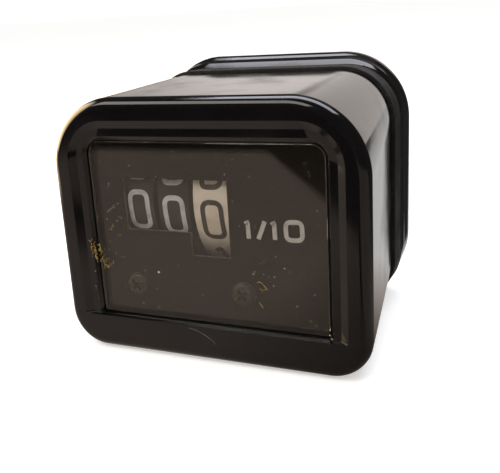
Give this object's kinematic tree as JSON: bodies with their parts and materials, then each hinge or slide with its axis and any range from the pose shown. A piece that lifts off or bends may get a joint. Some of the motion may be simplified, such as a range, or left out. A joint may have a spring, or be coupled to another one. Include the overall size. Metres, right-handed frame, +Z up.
{
  "type": "motorcycle odometer",
  "caption": "Box-shaped trip odometer: moulded case with stepped window, number wheels on a reset shaft with carry pinions, worm drive from a cable collar, and a stud-mounted rear base.",
  "frame": {"origin": "on the flat back face of the rear base, level with the middle of the front bezel", "axes": "+X to the reader's right, +Y backwards out of the back face, +Z up"},
  "size_m": [0.0784, 0.0655, 0.0611],
  "materials": {
    "case_black": "glossy moulded black",
    "lens_clear": "clear acrylic, lightly hazed",
    "rubber_black": "matt moulded rubber",
    "dial_black": "matt black paint",
    "screw_dark": "blackened steel",
    "zinc_steel": "zinc plated",
    "wheel_black": "satin moulded black",
    "wheel_cream": "satin moulded cream",
    "nylon": "natural moulded nylon",
    "brass": "turned brass"
  },
  "bodies": {
    "housing": {"case": "case_black", "lens": "lens_clear", "lens_gasket": "rubber_black", "dial_plate": "dial_black", "dial_screw_left": "screw_dark", "dial_screw_right": "screw_dark", "counter_frame": "zinc_steel", "anchor_rod": "zinc_steel", "ones_carrier": "zinc_steel", "tens_carrier": "zinc_steel", "shaft_grommet": "rubber_black", "gear_bracket": "zinc_steel", "rear_seal": "rubber_black", "rear_base": "case_black", "cover_screw_1": "screw_dark", "cover_screw_2": "screw_dark", "cover_screw_3": "screw_dark", "cover_screw_4": "screw_dark", "frame_screw_1": "screw_dark", "frame_screw_2": "screw_dark", "frame_screw_3": "screw_dark", "mount_stud_left": "zinc_steel", "mount_rubber_left": "rubber_black", "mount_washer_left": "zinc_steel", "mount_nut_left": "zinc_steel", "mount_stud_right": "zinc_steel", "mount_rubber_right": "rubber_black", "mount_washer_right": "zinc_steel", "mount_nut_right": "zinc_steel", "cable_collar": "brass", "collar_nut": "zinc_steel"},
    "tens_wheel": {"tens_wheel": "wheel_black"},
    "ones_wheel": {"ones_wheel": "wheel_black"},
    "tenths_wheel": {"tenths_wheel": "wheel_cream"},
    "tens_pinion": {"tens_pinion": "nylon"},
    "ones_pinion": {"ones_pinion": "nylon"},
    "reset_shaft": {"reset_shaft": "zinc_steel", "reset_knob": "case_black", "shaft_clip": "screw_dark"},
    "drive_gear": {"drive_gear": "nylon", "clutch_washer": "brass"},
    "upright_shaft": {"upright_shaft": "nylon", "worm_wheel": "nylon"},
    "drive_spindle": {"drive_spindle": "brass"}
  },
  "joints": [
    {"name": "drive_spin", "type": "hinge", "parent": "housing", "child": "drive_spindle", "pos_m": [-0.0031, 0, -0.015], "axis": [0, 1, 0], "continuous": true},
    {"name": "upright_spin", "type": "hinge", "parent": "housing", "child": "upright_shaft", "pos_m": [0.0078, -0.0135, 0], "axis": [0, 0, 1], "continuous": true},
    {"name": "drive_gear_spin", "type": "hinge", "parent": "housing", "child": "drive_gear", "pos_m": [0, -0.025, 0.0049], "axis": [1, 0, 0], "continuous": true},
    {"name": "tenths_spin", "type": "hinge", "parent": "housing", "child": "tenths_wheel", "pos_m": [0, -0.025, 0.0049], "axis": [1, 0, 0], "continuous": true},
    {"name": "ones_spin", "type": "hinge", "parent": "housing", "child": "ones_wheel", "pos_m": [0, -0.025, 0.0049], "axis": [1, 0, 0], "continuous": true},
    {"name": "tens_spin", "type": "hinge", "parent": "housing", "child": "tens_wheel", "pos_m": [0, -0.025, 0.0049], "axis": [1, 0, 0], "continuous": true},
    {"name": "ones_pinion_spin", "type": "hinge", "parent": "housing", "child": "ones_pinion", "pos_m": [0, -0.025, -0.0042], "axis": [1, 0, 0], "continuous": true},
    {"name": "tens_pinion_spin", "type": "hinge", "parent": "housing", "child": "tens_pinion", "pos_m": [0, -0.025, -0.0042], "axis": [1, 0, 0], "continuous": true},
    {"name": "reset_turn", "type": "hinge", "parent": "housing", "child": "reset_shaft", "pos_m": [0, -0.025, 0.0049], "axis": [1, 0, 0], "continuous": true}
  ],
  "couplings": [
    {"joint": "upright_spin", "follows": "drive_spin", "ratio": 0.035714},
    {"joint": "drive_gear_spin", "follows": "drive_spin", "ratio": -0.00099206},
    {"joint": "tenths_spin", "follows": "drive_spin", "ratio": -0.00099206},
    {"joint": "ones_pinion_spin", "follows": "ones_spin", "ratio": 3.3333},
    {"joint": "tens_pinion_spin", "follows": "tens_spin", "ratio": 3.3333}
  ]
}
